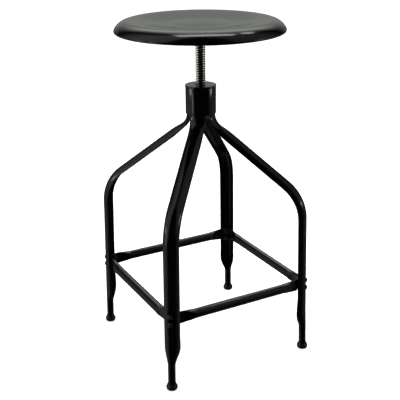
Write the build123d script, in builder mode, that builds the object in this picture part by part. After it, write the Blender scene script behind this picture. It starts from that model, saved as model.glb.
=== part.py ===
"""Adjustable swivel stool: pressed-steel seat on a screw spindle, over four channel legs and four rungs.

Millimetres and degrees. +Z is up, the origin is the centre of the footprint, on the floor.
Front is -Y and right is +X. The legs stand on the diagonals.
"""

from build123d import *
import os
from math import asin, cos, degrees, radians, sin, sqrt, tan

os.makedirs("parts", exist_ok=True)

# ---------------------------------------------------------------- driving dimensions

# seat pan, pressed from sheet, with a shallow dish and a rolled rim
seat_top = 745.0
seat_radius = 180.0
pan_sheet = 1.5
rim_crest_radius = 150.0
rim_shoulder_radius = 32.9
rim_roll_radius = 4.2
roll_turn = 175.0
dish_floor_radius = 44.0
dish_edge_radius = 66.0
dish_depth = 4.0
crown_fall = 3.0

# plate, hub and screw spindle under the seat
plate_radius = 58.0
plate_thickness = 3.0
hub_radius = 20.0
hub_bottom = 719.5
set_screw_radius = 3.0
spindle_radius = 11.0
spindle_bottom = 551.0
spindle_chamfer = 1.2
stop_bolt_radius = 4.0
stop_bolt_depth = 20.0
stop_bolt_head_flats = 13.0
stop_bolt_head_height = 5.3
stop_washer_radius = 16.0
stop_washer_thickness = 3.0

# collar
collar_bottom = 546.1
collar_top = 604.3
sleeve_radius = 33.0
sleeve_wall = 1.85
cap_radius = 33.8
cap_thickness = 4.0
cap_hole_radius = 12.2
cap_lip_depth = 5.0
inner_tube_radius = 28.85
inner_tube_wall = 2.5
inner_tube_top = 603.0
bush_length = 47.0

# legs, half-round channels that close to a tube at the ankle
leg_sheet = 2.0
leg_width = 35.0
leg_depth = 15.0
leg_top = 598.0
leg_neck_radius = 28.6
leg_neck_height = 525.5
leg_neck_bend = 38.0
leg_knee_radius = 229.7
leg_knee_height = 369.8
leg_knee_bend = 100.0
leg_foot_radius = 239.8
leg_tube_diameter = 16.5
leg_tube_seam = 0.6
leg_tube_bottom = 8.0
ankle_top = 100.0
ankle_bottom = 57.0
leg_top_width = 33.0
leg_top_outer_radius = 31.0
leg_opening_run = 90.0

# rungs, tubes with flattened ends
rung_height = 165.0
rung_radius = 10.25
rung_wall = 1.3
rung_corner_radius = 236.5
rung_bend = 6.0
rung_flare_start = 100.0
rung_flare_end = 138.0
tab_thickness = 2.6
tab_height = 28.0
outer_tab_reach = 11.0
inner_tab_reach = 7.2

# fasteners
bolt_radius = 2.95
bolt_hole_radius = 3.3
bolt_spacing = 18.0
bolt_head_radius = 5.5
bolt_head_height = 3.6
head_gap = 0.2
bolt_end_radius = 214.5
washer_radius = 6.0
washer_thickness = 1.2
nut_flats = 10.0
nut_height = 5.0

# feet
foot_radius = 12.5
foot_height = 14.0
foot_floor_thickness = 7.8

# gaps
fit_gap = 0.05
loose_gap = 0.15
cup_gap = 0.35

leg_names = ["front_right", "back_right", "back_left", "front_left"]
rung_names = ["front", "right", "back", "left"]
first_leg_angle = -45.0


def save(piece, label):
    """Label a finished piece and write it as its own file."""
    piece.label = label
    export_step(piece, f"parts/{label}.step")


# ---------------------------------------------------------------- seat pan

shoulder_reach = rim_shoulder_radius - rim_roll_radius
roll_reach = seat_radius - rim_roll_radius - rim_crest_radius
shoulder_turn = degrees(asin(roll_reach / shoulder_reach))
shoulder_centre_height = seat_top - rim_shoulder_radius
roll_centre_height = shoulder_centre_height + shoulder_reach * cos(radians(shoulder_turn))
plain_top = seat_top - crown_fall
dish_floor = plain_top - dish_depth
dish_middle_radius = (dish_floor_radius + dish_edge_radius) / 2

def pan_skin(inset):
    """Draw the pan's skin at a depth below its outer face, and give its two end points."""
    floor_height = dish_floor - inset
    floor_line = Line((0, floor_height), (dish_floor_radius, floor_height))
    dish_wall = Spline(
        floor_line @ 1,
        (dish_middle_radius, floor_height + dish_depth / 2),
        (dish_edge_radius, plain_top - inset),
        tangents=[(1, 0), (1, 0.02)],
    )
    Line(dish_wall @ 1, (rim_crest_radius, seat_top - inset))
    shoulder_middle = (rim_crest_radius, shoulder_centre_height)
    CenterArc(shoulder_middle, rim_shoulder_radius - inset, 90, -shoulder_turn)
    roll_middle = (seat_radius - rim_roll_radius, roll_centre_height)
    roll = CenterArc(roll_middle, rim_roll_radius - inset, 90 - shoulder_turn, -roll_turn)
    return floor_line @ 0, roll @ 1


with BuildPart() as seat_pan:
    with BuildSketch(Plane.XZ):
        with BuildLine():
            outer_start, outer_end = pan_skin(0)
            inner_start, inner_end = pan_skin(pan_sheet)
            Line(outer_start, inner_start)
            Line(outer_end, inner_end)
        make_face()
    revolve(axis=Axis.Z)
save(seat_pan.part, "seat_pan")

# ---------------------------------------------------------------- plate, hub and spindle

plate_top = dish_floor - pan_sheet
plate_bottom = plate_top - plate_thickness
hub_height = plate_bottom - hub_bottom
set_screw_height = hub_bottom + hub_height / 2

with BuildPart() as mounting_plate:
    with BuildSketch(Plane.XY.offset(plate_bottom)):
        Circle(plate_radius)
    extrude(amount=plate_thickness)
    fillet(mounting_plate.edges().group_by(Axis.Z)[0], 1.0)
save(mounting_plate.part, "mounting_plate")

with BuildPart() as spindle_hub:
    with BuildSketch(Plane.XY.offset(hub_bottom)):
        Circle(hub_radius)
        Circle(spindle_radius + fit_gap, mode=Mode.SUBTRACT)
    extrude(amount=hub_height)
    chamfer(spindle_hub.edges().group_by(Axis.Z)[0].sort_by(SortBy.RADIUS)[-1], 1.5)
    with BuildSketch(Plane.YZ.offset(spindle_radius)):
        with Locations((0, set_screw_height)):
            Circle(set_screw_radius + fit_gap)
    extrude(amount=hub_radius, mode=Mode.SUBTRACT)
save(spindle_hub.part, "spindle_hub")

with BuildPart() as hub_locking_screw:
    with BuildSketch(Plane.YZ.offset(spindle_radius + fit_gap)):
        with Locations((0, set_screw_height)):
            Circle(set_screw_radius)
    extrude(amount=hub_radius - spindle_radius - 1)
    with BuildSketch(hub_locking_screw.faces().sort_by(Axis.X)[-1]):
        RegularPolygon(1.5, 6, major_radius=False)
    extrude(amount=-3, mode=Mode.SUBTRACT)
save(hub_locking_screw.part, "hub_locking_screw")

with BuildPart() as spindle:
    with BuildSketch(Plane.XY.offset(spindle_bottom)):
        Circle(spindle_radius)
    extrude(amount=plate_bottom - spindle_bottom)
    chamfer(spindle.edges().group_by(Axis.Z)[0], spindle_chamfer)
    with BuildSketch(Plane.XY.offset(spindle_bottom)):
        Circle(stop_bolt_radius + fit_gap)
    extrude(amount=stop_bolt_depth + 2, mode=Mode.SUBTRACT)
save(spindle.part, "spindle")

washer_top = spindle_bottom - loose_gap
washer_bottom = washer_top - stop_washer_thickness
stop_head_top = washer_bottom - loose_gap

with BuildPart() as stop_washer:
    with BuildSketch(Plane.XY.offset(washer_bottom)):
        Circle(stop_washer_radius)
        Circle(stop_bolt_radius + 2 * loose_gap, mode=Mode.SUBTRACT)
    extrude(amount=stop_washer_thickness)
    fillet(stop_washer.edges().filter_by(GeomType.CIRCLE).group_by(SortBy.RADIUS)[-1], 0.4)
save(stop_washer.part, "stop_washer")

with BuildPart() as stop_bolt:
    with BuildSketch(Plane.XY.offset(stop_head_top - stop_bolt_head_height)):
        RegularPolygon(stop_bolt_head_flats / 2, 6, major_radius=False)
    extrude(amount=stop_bolt_head_height)
    with BuildSketch(Plane.XY.offset(stop_head_top)):
        Circle(stop_bolt_radius)
    extrude(amount=spindle_bottom + stop_bolt_depth - stop_head_top)
save(stop_bolt.part, "stop_bolt")

# ---------------------------------------------------------------- collar

with BuildPart() as collar_sleeve:
    with BuildSketch(Plane.XY.offset(collar_bottom)):
        Circle(sleeve_radius)
        Circle(sleeve_radius - sleeve_wall, mode=Mode.SUBTRACT)
    extrude(amount=collar_top - collar_bottom)
save(collar_sleeve.part, "collar_sleeve")

with BuildPart() as collar_cap:
    with BuildSketch(Plane.XY.offset(collar_top)):
        Circle(cap_radius)
        Circle(cap_hole_radius, mode=Mode.SUBTRACT)
    extrude(amount=cap_thickness)
    fillet(collar_cap.edges().group_by(Axis.Z)[-1], 1.0)
    with BuildSketch(Plane.XY.offset(collar_top)):
        Circle(sleeve_radius - sleeve_wall - loose_gap)
        Circle(inner_tube_radius + loose_gap, mode=Mode.SUBTRACT)
    extrude(amount=-cap_lip_depth)
save(collar_cap.part, "collar_cap")

with BuildPart() as inner_tube:
    with BuildSketch(Plane.XY.offset(collar_bottom)):
        Circle(inner_tube_radius)
        Circle(inner_tube_radius - inner_tube_wall, mode=Mode.SUBTRACT)
    extrude(amount=inner_tube_top - collar_bottom)
save(inner_tube.part, "inner_tube")

with BuildPart() as threaded_bush:
    with BuildSketch(Plane.XY.offset(inner_tube_top - bush_length)):
        Circle(inner_tube_radius - inner_tube_wall - fit_gap)
        Circle(spindle_radius + fit_gap, mode=Mode.SUBTRACT)
    extrude(amount=bush_length)
save(threaded_bush.part, "threaded_bush")

# ---------------------------------------------------------------- legs

leg_plane = Plane(origin=(0, 0, 0), x_dir=(1, 0, 0), z_dir=(0, -1, 0))
leg_slope = (leg_foot_radius - leg_knee_radius) / leg_knee_height
leg_end_radius = leg_foot_radius - leg_slope * leg_tube_bottom
leg_top_depth = leg_top_outer_radius - sqrt(leg_top_outer_radius**2 - (leg_top_width / 2) ** 2)

with BuildLine(leg_plane):
    leg_line = FilletPolyline(
        (leg_neck_radius, leg_top),
        (leg_neck_radius, leg_neck_height),
        (leg_knee_radius, leg_knee_height),
        (leg_end_radius, leg_tube_bottom),
        radius=[leg_neck_bend, leg_knee_bend],
    )
leg_length = leg_line.length


def ease(value, low, high):
    """0 below low, 1 above high, and a smooth rise between them."""
    t = min(max((value - low) / (high - low), 0), 1)
    return t * t * (3 - 2 * t)


def leg_distance(height):
    """Distance along the leg of a point of its lower, nearly upright run."""
    return leg_length - (height - leg_tube_bottom) * sqrt(1 + leg_slope**2)


neck_start = leg_top - leg_neck_height - leg_neck_bend * 0.5
channel_start = neck_start + leg_opening_run
ankle_start = leg_distance(ankle_top)
ankle_end = leg_distance(ankle_bottom)


def leg_section(distance):
    """Mouth width and depth of the channel at a distance along the leg."""
    opened = ease(distance, neck_start, channel_start)
    closed = min(max((distance - ankle_start) / (ankle_end - ankle_start), 0), 1)
    width = leg_top_width + (leg_width - leg_top_width) * opened
    depth = leg_top_depth + (leg_depth - leg_top_depth) * opened
    width = leg_tube_seam + (width - leg_tube_seam) * cos(radians(90 * closed))
    depth = depth + (leg_tube_diameter - leg_depth) * ease(closed, 0, 1)
    return width, depth


upper_stations = [0, 18, 36] + [neck_start + step * 7 for step in range(13)]
knee_stations = [175, 210, 245] + [270 + step * 13 for step in range(9)]
shin_stations = [410, 460, 510, 555]
ankle_stations = [ankle_start + (ankle_end - ankle_start) * step / 9 for step in range(10)]
foot_stations = [leg_length - 24, leg_length]
leg_stations = upper_stations + knee_stations + shin_stations + ankle_stations + foot_stations

with BuildPart() as leg:
    for distance in leg_stations:
        mouth, depth = leg_section(distance)
        outer = ((mouth / 2) ** 2 + depth**2) / (2 * depth)
        half_turn = degrees(asin(min(mouth / 2 / outer, 1)))
        if depth > outer:
            half_turn = 180 - half_turn
        station = Plane(
            origin=leg_line.position_at(distance, position_mode=PositionMode.LENGTH),
            x_dir=(0, 1, 0),
            z_dir=leg_line.tangent_at(distance, position_mode=PositionMode.LENGTH),
        )
        with BuildSketch(station):
            with BuildLine():
                middle = (0, depth / 2 - outer)
                outside = CenterArc(middle, outer, 90 - half_turn, 2 * half_turn)
                inside = CenterArc(middle, outer - leg_sheet, 90 - half_turn, 2 * half_turn)
                Line(outside @ 0, inside @ 0)
                Line(outside @ 1, inside @ 1)
            make_face()
    loft(ruled=True)
    with BuildSketch(Plane.YZ.offset(leg_foot_radius)):
        with Locations((0, rung_height)):
            with GridLocations(1, bolt_spacing, 1, 2):
                Circle(bolt_hole_radius)
    extrude(amount=leg_depth, both=True, mode=Mode.SUBTRACT)

for number, name in enumerate(leg_names):
    save(leg.part.rotate(Axis.Z, first_leg_angle + 90 * number), f"leg_{name}")

# ---------------------------------------------------------------- rungs

leg_line_radius = leg_foot_radius - leg_slope * rung_height
mouth_radius = leg_line_radius - leg_depth / 2
outer_tab_radius = mouth_radius - 0.5 * tab_thickness
inner_tab_radius = mouth_radius - 1.5 * tab_thickness - fit_gap
rung_distance = rung_corner_radius / sqrt(2)
rung_plane = Plane(origin=(0, -rung_distance, rung_height), x_dir=(1, 0, 0), z_dir=(0, 0, 1))


def tab_points(tab_radius, reach):
    """Corner of the bent end and its tip, in the rung's own plane, for the end towards +X."""
    corner = sqrt(2) * tab_radius - rung_distance
    offset_at_corner = (rung_distance - corner) / sqrt(2)
    run = (offset_at_corner + reach) / sqrt(2)
    return (corner, 0), (corner + run, run)


with BuildPart() as rung:
    with BuildSketch(Plane.YZ.offset(-rung_flare_start)):
        with Locations((-rung_distance, rung_height)):
            Circle(rung_radius)
            Circle(rung_radius - rung_wall, mode=Mode.SUBTRACT)
    extrude(amount=2 * rung_flare_start)
    for side, tab_radius, reach in (
        (1, inner_tab_radius, inner_tab_reach),
        (-1, outer_tab_radius, outer_tab_reach),
    ):
        corner, tip = tab_points(tab_radius, reach)
        for place, half_thick, half_high in (
            (rung_flare_start, rung_radius, rung_radius),
            ((rung_flare_start + rung_flare_end) / 2, 6.2, 12.3),
            (rung_flare_end, tab_thickness / 2, tab_height / 2),
        ):
            with BuildSketch(Plane.YZ.offset(side * place)):
                with Locations((-rung_distance, rung_height)):
                    Ellipse(half_thick, half_high)
        loft()
        with BuildLine(rung_plane):
            tab_line = FilletPolyline(
                (side * (rung_flare_end - 1), 0),
                (side * corner[0], corner[1]),
                (side * tip[0], tip[1]),
                radius=rung_bend,
            )
        with BuildSketch(Plane(origin=tab_line @ 0, x_dir=(0, 1, 0), z_dir=(side, 0, 0))):
            Rectangle(tab_thickness, tab_height)
        sweep(path=tab_line)
    for leg_angle in (first_leg_angle, first_leg_angle - 90):
        bore_plane = Plane(
            origin=(0, 0, rung_height),
            x_dir=(-sin(radians(leg_angle)), cos(radians(leg_angle)), 0),
            z_dir=(cos(radians(leg_angle)), sin(radians(leg_angle)), 0),
        )
        with BuildSketch(bore_plane.offset(inner_tab_radius - 2 * tab_thickness)):
            with GridLocations(1, bolt_spacing, 1, 2):
                Circle(bolt_hole_radius)
        extrude(amount=4 * tab_thickness, mode=Mode.SUBTRACT)

for number, name in enumerate(rung_names):
    save(rung.part.rotate(Axis.Z, 90 * number), f"rung_{name}")

# ---------------------------------------------------------------- bolts, washers and nuts

bolt_heights = [rung_height - bolt_spacing / 2, rung_height + bolt_spacing / 2]
tab_back_radius = inner_tab_radius - tab_thickness / 2
washer_back_radius = tab_back_radius - washer_thickness


def fastener_plane(radius, height, leg_angle):
    """Plane across a leg's radial direction, facing out, at a radius and height."""
    across = Vector(cos(radians(leg_angle)), sin(radians(leg_angle)), 0)
    return Plane(
        origin=across * radius + Vector(0, 0, height), x_dir=(0, 0, 1), z_dir=across
    )


leg_angles = [first_leg_angle + 90 * number for number in range(4)]
bolt_places = [(angle, height) for angle in leg_angles for height in bolt_heights]

with BuildPart() as rung_bolts:
    for angle, height in bolt_places:
        seat_face = leg_foot_radius - leg_slope * height + leg_depth / 2 + head_gap
        with BuildSketch(fastener_plane(bolt_end_radius, height, angle)):
            Circle(bolt_radius)
        extrude(amount=seat_face - bolt_end_radius)
        with BuildSketch(fastener_plane(seat_face, height, angle)):
            Circle(bolt_head_radius)
        extrude(amount=bolt_head_height, taper=25)
save(rung_bolts.part, "rung_bolts")

with BuildPart() as rung_washers:
    for angle, height in bolt_places:
        with BuildSketch(fastener_plane(washer_back_radius, height, angle)):
            Circle(washer_radius)
            Circle(bolt_hole_radius, mode=Mode.SUBTRACT)
        extrude(amount=washer_thickness)
save(rung_washers.part, "rung_washers")

with BuildPart() as rung_nuts:
    for angle, height in bolt_places:
        with BuildSketch(fastener_plane(washer_back_radius, height, angle)):
            RegularPolygon(nut_flats / 2, 6, major_radius=False)
            Circle(bolt_radius + fit_gap, mode=Mode.SUBTRACT)
        extrude(amount=-nut_height)
save(rung_nuts.part, "rung_nuts")

# ---------------------------------------------------------------- feet

cup_radius = leg_tube_diameter / 2 + cup_gap

with BuildPart() as foot:
    with BuildSketch(Plane.XZ):
        with BuildLine():
            Polyline(
                (0, 0),
                (foot_radius - 2, 0),
                (foot_radius, 3),
                (foot_radius, foot_height - 4),
                (foot_radius - 2, foot_height),
                (cup_radius, foot_height),
                (cup_radius, foot_floor_thickness),
                (0, foot_floor_thickness),
                close=True,
            )
        make_face()
    revolve(axis=Axis.Z)

for number, name in enumerate(leg_names):
    placed = foot.part.moved(Location((leg_foot_radius, 0, 0)))
    save(placed.rotate(Axis.Z, first_leg_angle + 90 * number), f"foot_{name}")
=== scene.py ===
"""Adjustable swivel stool: the finished surfaces, built around the stool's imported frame.

Every size is in metres. The pieces are modelled where the frame's own parts stand.
"""

import math

import bmesh
import bpy
from bpy.props import FloatProperty, FloatVectorProperty, IntProperty, PointerProperty
from bpy.types import Operator, Panel, PropertyGroup
from mathutils import Matrix, Vector


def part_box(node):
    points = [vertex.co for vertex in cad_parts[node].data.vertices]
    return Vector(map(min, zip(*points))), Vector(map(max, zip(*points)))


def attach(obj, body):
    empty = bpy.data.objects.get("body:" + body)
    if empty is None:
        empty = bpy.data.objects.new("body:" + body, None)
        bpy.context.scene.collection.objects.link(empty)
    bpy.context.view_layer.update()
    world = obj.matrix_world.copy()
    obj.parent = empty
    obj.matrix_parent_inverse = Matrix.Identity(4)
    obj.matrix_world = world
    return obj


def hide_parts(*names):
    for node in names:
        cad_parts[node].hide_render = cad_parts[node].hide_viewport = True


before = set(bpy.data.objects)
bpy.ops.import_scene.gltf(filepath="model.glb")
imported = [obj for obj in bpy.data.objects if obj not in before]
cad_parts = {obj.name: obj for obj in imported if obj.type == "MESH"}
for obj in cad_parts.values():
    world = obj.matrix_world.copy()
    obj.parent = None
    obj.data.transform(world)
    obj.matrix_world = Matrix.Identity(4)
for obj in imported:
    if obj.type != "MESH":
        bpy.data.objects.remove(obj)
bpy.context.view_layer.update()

bl_info = {
    "name": "Swivel Stool",
    "version": (1, 0, 0),
    "blender": (4, 5, 0),
    "location": "View3D > Sidebar > Stool",
    "description": "Builds the finished pieces of an adjustable swivel stool",
    "category": "Add Mesh",
}

MM = 0.001
CORNERS = ("front_right", "back_right", "back_left", "front_left")
SIDES = ("front", "right", "back", "left")
FIRST_LEG_ANGLE = math.radians(-45)
QUARTER = math.pi / 2


def box_of(node):
    """Lowest and highest corner of one of the frame's parts."""
    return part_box(node)


PAN_HIGH = box_of("seat_pan")[1]
PLATE_LOW, PLATE_HIGH = box_of("mounting_plate")
HUB_LOW, HUB_HIGH = box_of("spindle_hub")
SPINDLE_LOW, SPINDLE_HIGH = box_of("spindle")
WASHER_LOW, WASHER_HIGH = box_of("stop_washer")
STOP_LOW, STOP_HIGH = box_of("stop_bolt")
SLEEVE_HIGH = box_of("collar_sleeve")[1]
CAP_LOW, CAP_HIGH = box_of("collar_cap")
TUBE_HIGH = box_of("inner_tube")[1]
BUSH_LOW, BUSH_HIGH = box_of("threaded_bush")
LEG_HIGH = box_of("leg_back_right")[1]
RUNG_LOW, RUNG_HIGH = box_of("rung_front")
FOOT_LOW, FOOT_HIGH = box_of("foot_back_right")

FOOT_CENTRE = (FOOT_LOW + FOOT_HIGH) / 2
FOOT_CIRCLE = math.hypot(FOOT_CENTRE.x, FOOT_CENTRE.y)
LEG_NECK = (28.6 * MM, 525.5 * MM)
LEG_KNEE = (229.7 * MM, 369.8 * MM)
LEG_SLOPE = (FOOT_CIRCLE - LEG_KNEE[0]) / LEG_KNEE[1]
RUNG_HEIGHT = (RUNG_LOW.z + RUNG_HIGH.z) / 2


# ------------------------------------------------------------------ sizes and colours


def length(name, description, default, low=0.0):
    """A length in metres that the user can change."""
    return FloatProperty(
        name=name, description=description, default=default, min=low, unit="LENGTH", precision=4
    )


def tint(name, description, default):
    """A linear colour that the user can change."""
    return FloatVectorProperty(
        name=name, description=description, default=default, min=0, max=1, size=3, subtype="COLOR"
    )


def share(name, description, default):
    """A number from 0 to 1 that the user can change."""
    return FloatProperty(
        name=name, description=description, default=default, min=0, max=1, subtype="FACTOR"
    )


class StoolSizes(PropertyGroup):
    """Sizes of the stool's pieces."""

    pan_sheet: length("Pan sheet", "Thickness of the seat pan's steel sheet", 1.5 * MM)
    rim_crest: length("Rim crest", "Radius where the seat's shoulder starts", 150 * MM)
    rim_shoulder: length("Rim shoulder", "Radius of the seat's rounded shoulder", 32.9 * MM)
    rim_roll: length("Rim roll", "Radius of the rolled lower edge", 4.2 * MM)
    dish_floor: length("Dish floor", "Radius where the dish starts to rise", 58 * MM)
    dish_depth: length("Dish depth", "Depth of the dish below the rim's crest", 7 * MM)
    boss_radius: length("Boss radius", "Radius of the low boss in the dish", 60 * MM)
    boss_rise: length("Boss rise", "How far the boss stands above the dish", 2.1 * MM)
    thread_pitch: length("Thread pitch", "Rise of the seat for one full turn", 5 * MM)
    thread_depth: length("Thread depth", "Depth of the spindle's thread", 2.5 * MM)
    bolt_pitch: length("Bolt pitch", "Pitch of the small bolts' threads", 1 * MM)
    leg_sheet: length("Leg sheet", "Thickness of the legs' steel sheet", 2 * MM)
    leg_width: length("Leg width", "Width of a leg's channel", 35 * MM)
    leg_depth: length("Leg depth", "Depth of a leg's channel", 15 * MM)
    leg_top_width: length("Leg top width", "Width of a leg inside the collar", 33 * MM)
    ankle_tube: length("Ankle tube", "Diameter of the closed tube at the ankle", 16.5 * MM)
    neck_bend: length("Neck bend", "Radius of a leg's bend under the collar", 38 * MM)
    knee_bend: length("Knee bend", "Radius of a leg's outer bend", 100 * MM)
    rung_radius: length("Rung radius", "Radius of a rung's tube", 10.25 * MM)
    tab_thickness: length("Tab thickness", "Thickness of a rung's flattened end", 2.6 * MM)
    bolt_spacing: length("Bolt spacing", "Height between the two bolts of a leg", 18 * MM)
    bolt_head: length("Bolt head", "Radius of a dome head", 5.5 * MM)
    round_steps: IntProperty(
        name="Round steps", description="Faces round the seat pan", default=192, min=24, max=512
    )


class StoolFinish(PropertyGroup):
    """Colours and gloss of the stool's finishes."""

    paint: tint("Paint", "Black paint of the seat, legs, collar and rungs", (0.001, 0.001, 0.001))
    paint_roughness: share("Paint roughness", "How soft the paint's reflections are", 0.15)
    screw: tint("Screw steel", "Bright steel of the spindle", (0.88, 0.85, 0.80))
    grease: tint("Grease", "Dark film at the bottom of the spindle's thread", (0.012, 0.007, 0.004))
    steel: tint("Plain steel", "Turned and welded steel inside the collar", (0.38, 0.37, 0.36))
    zinc: tint("Zinc", "Zinc plating of the stop bolt and washer", (0.66, 0.67, 0.66))
    oxide: tint("Black oxide", "Blackened bolts, nuts and washers", (0.004, 0.004, 0.0042))
    plastic: tint("Foot plastic", "Moulded plastic of the feet", (0.003, 0.003, 0.0031))
    floor: tint("Floor", "Pale floor under the stool", (0.88, 0.88, 0.88))


# ------------------------------------------------------------------ shader arithmetic


class Value:
    """One output of a shader node, with Python's arithmetic for numbers."""

    def __init__(self, shader, socket):
        self.shader = shader
        self.socket = socket

    def math(self, operation, first, second=0.0):
        """A Math node on two numbers."""
        return self.shader.node(
            "ShaderNodeMath", {"operation": operation}, {0: first, 1: second}
        )

    def __add__(self, other):
        return self.math("ADD", self, other)

    def __radd__(self, other):
        return self.math("ADD", other, self)

    def __sub__(self, other):
        return self.math("SUBTRACT", self, other)

    def __rsub__(self, other):
        return self.math("SUBTRACT", other, self)

    def __mul__(self, other):
        return self.math("MULTIPLY", self, other)

    def __rmul__(self, other):
        return self.math("MULTIPLY", other, self)

    def __truediv__(self, other):
        return self.math("DIVIDE", self, other)


class Shader:
    """A material or world whose nodes are written as expressions."""

    def __init__(self, tree):
        self.tree = tree
        self.tree.nodes.clear()

    def node(self, kind, settings=None, inputs=None, output=0):
        """Add a node with its settings, then its input values or links, and give one output."""
        made = self.tree.nodes.new(kind)
        for key, value in (settings or {}).items():
            if key == "stops":
                self.set_stops(made.color_ramp, value)
            else:
                setattr(made, key, value)
        for key, value in (inputs or {}).items():
            if isinstance(value, Value):
                self.tree.links.new(value.socket, made.inputs[key])
            else:
                made.inputs[key].default_value = value
        return Value(self, made.outputs[output]) if len(made.outputs) else None

    def set_stops(self, ramp, stops):
        """Give a colour ramp its (position, grey) stops."""
        while len(ramp.elements) < len(stops):
            ramp.elements.new(1.0)
        for element, (position, grey) in zip(ramp.elements, stops):
            element.position = position
            element.color = (grey, grey, grey, 1)

    def place(self, scale=(1, 1, 1)):
        """Coordinates fixed to the piece, stretched along its axes."""
        raw = self.node("ShaderNodeTexCoord", output="Object")
        return self.node(
            "ShaderNodeVectorMath", {"operation": "MULTIPLY"}, {0: raw, 1: scale}
        )

    def noise(self, where, scale, detail=2.0, roughness=0.5):
        """Soft noise from 0 to 1."""
        inputs = {"Vector": where, "Scale": scale, "Detail": detail, "Roughness": roughness}
        return self.node("ShaderNodeTexNoise", None, inputs, "Fac")

    def ramp(self, value, *stops):
        """A number reshaped by (position, grey) stops."""
        return self.node("ShaderNodeValToRGB", {"stops": stops}, {"Fac": value})

    def painted_on(self, name):
        """A number that the mesh carries at each of its points."""
        return self.node("ShaderNodeAttribute", {"attribute_name": name}, None, "Fac")

    def worn(self, pattern, low, high):
        """Wear on the mesh's marked edges, broken up where a pattern is between two levels."""
        return self.painted_on("edge") * self.ramp(pattern, (low, 0.0), (high, 1.0))

    def blend(self, amount, first, second):
        """A colour between two colours, through the colour sockets of a Mix node."""
        ends = [c if isinstance(c, Value) else (*c, 1.0) for c in (first, second)]
        inputs = {0: amount, 6: ends[0], 7: ends[1]}
        return self.node("ShaderNodeMix", {"data_type": "RGBA"}, inputs, 2)

    def bump(self, height, distance, strength=1.0):
        """A surface normal from a height."""
        inputs = {"Strength": strength, "Distance": distance, "Height": height}
        return self.node("ShaderNodeBump", None, inputs)


def surface(name, colour, roughness, normal=None, metallic=None, **constants):
    """Close a material with its surface shader. Constants go on the shader's own sockets."""
    shader = colour.shader
    inputs = {"Base Color": colour, "Roughness": roughness}
    if normal is not None:
        inputs["Normal"] = normal
    if metallic is not None:
        inputs["Metallic"] = metallic
    inputs.update(constants)
    made = shader.node("ShaderNodeBsdfPrincipled", None, inputs)
    shader.node("ShaderNodeOutputMaterial", None, {"Surface": made})
    return bpy.data.materials[name]


def scaled(colour, factor):
    """A lighter or darker version of a colour."""
    return tuple(channel * factor for channel in colour)


def new_shader(name):
    """An empty material's nodes."""
    material = bpy.data.materials.new(name)
    material.use_nodes = True
    return Shader(material.node_tree)


# ------------------------------------------------------------------ finishes


def black_paint(finish, name, peel_scale, peel_depth, gloss):
    """Sprayed satin black paint: faint mottling, orange peel, fine dust and rubbed edges."""
    shader = new_shader(name)
    where = shader.place()
    mottle = shader.noise(where, 14.0, 3.0)
    speck = shader.ramp(shader.noise(where, 900.0, 1.0), (0.70, 0.0), (0.78, 1.0))
    rubbed = shader.worn(shader.noise(where, 160.0, 4.0, 0.7), 0.46, 0.62)
    tone = finish.paint
    colour = shader.blend(mottle, scaled(tone, 0.6), scaled(tone, 1.5))
    colour = shader.blend(speck * 0.03, colour, (0.05, 0.05, 0.049))
    colour = shader.blend(rubbed * 0.2, colour, (0.05, 0.049, 0.047))
    roughness = gloss - 0.02 + 0.04 * mottle + 0.08 * speck + 0.1 * rubbed
    peel = shader.noise(where, peel_scale, 2.0, 0.45)
    waves = shader.noise(where, 38.0, 1.0)
    normal = shader.bump(peel + 2.5 * waves, peel_depth)
    return surface(name, colour, roughness, normal, **{"IOR": 1.5})


def bright_screw(finish, name):
    """Rolled, plated screw steel: bright crests, a dark oily film in the root, fine tool lines."""
    shader = new_shader(name)
    where = shader.place((1, 1, 14))
    lines = shader.noise(where, 240.0, 3.0, 0.6)
    film = shader.noise(shader.place(), 90.0, 3.0)
    root = shader.painted_on("root")
    dirt = shader.ramp(root * 0.9 + film * 0.4, (0.24, 0.0), (0.6, 1.0))
    bright = shader.blend(lines * 0.3, finish.screw, (0.5, 0.47, 0.43))
    colour = shader.blend(dirt, bright, finish.grease)
    roughness = 0.2 + 0.14 * lines + 0.1 * dirt
    metallic = 1.0 - 0.9 * dirt
    normal = shader.bump(lines, 0.05 * MM)
    return surface(name, colour, roughness, normal, metallic)


def turned_steel(name, tone, ring_scale=180.0, shine=0.32):
    """Machined steel: concentric tool marks, soft stains and lighter rubbed edges."""
    shader = new_shader(name)
    rings = shader.noise(shader.place((0.2, 0.2, 5)), ring_scale, 3.0, 0.6)
    stain = shader.noise(shader.place(), 45.0, 4.0, 0.6)
    rubbed = shader.worn(stain, 0.4, 0.6)
    colour = shader.blend(stain, scaled(tone, 0.72), tone)
    colour = shader.blend(rubbed * 0.5, colour, (0.78, 0.77, 0.75))
    roughness = shine - 0.08 + 0.16 * rings + 0.12 * stain
    normal = shader.bump(rings, 0.04 * MM)
    return surface(name, colour, roughness, normal, 1.0)


def black_oxide(finish, name):
    """Blackened steel fasteners: fine grain, a little bare metal on the worn corners."""
    shader = new_shader(name)
    where = shader.place()
    grain = shader.noise(where, 1300.0, 2.0)
    patch = shader.noise(where, 260.0, 3.0)
    bare = shader.worn(patch, 0.42, 0.58)
    tone = finish.oxide
    colour = shader.blend(patch, tone, scaled(tone, 2.0))
    colour = shader.blend(bare * 0.3, colour, (0.08, 0.078, 0.075))
    roughness = 0.16 + 0.1 * grain + 0.08 * patch
    normal = shader.bump(grain, 0.03 * MM)
    return surface(name, colour, roughness, normal, 0.4 * bare)


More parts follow.
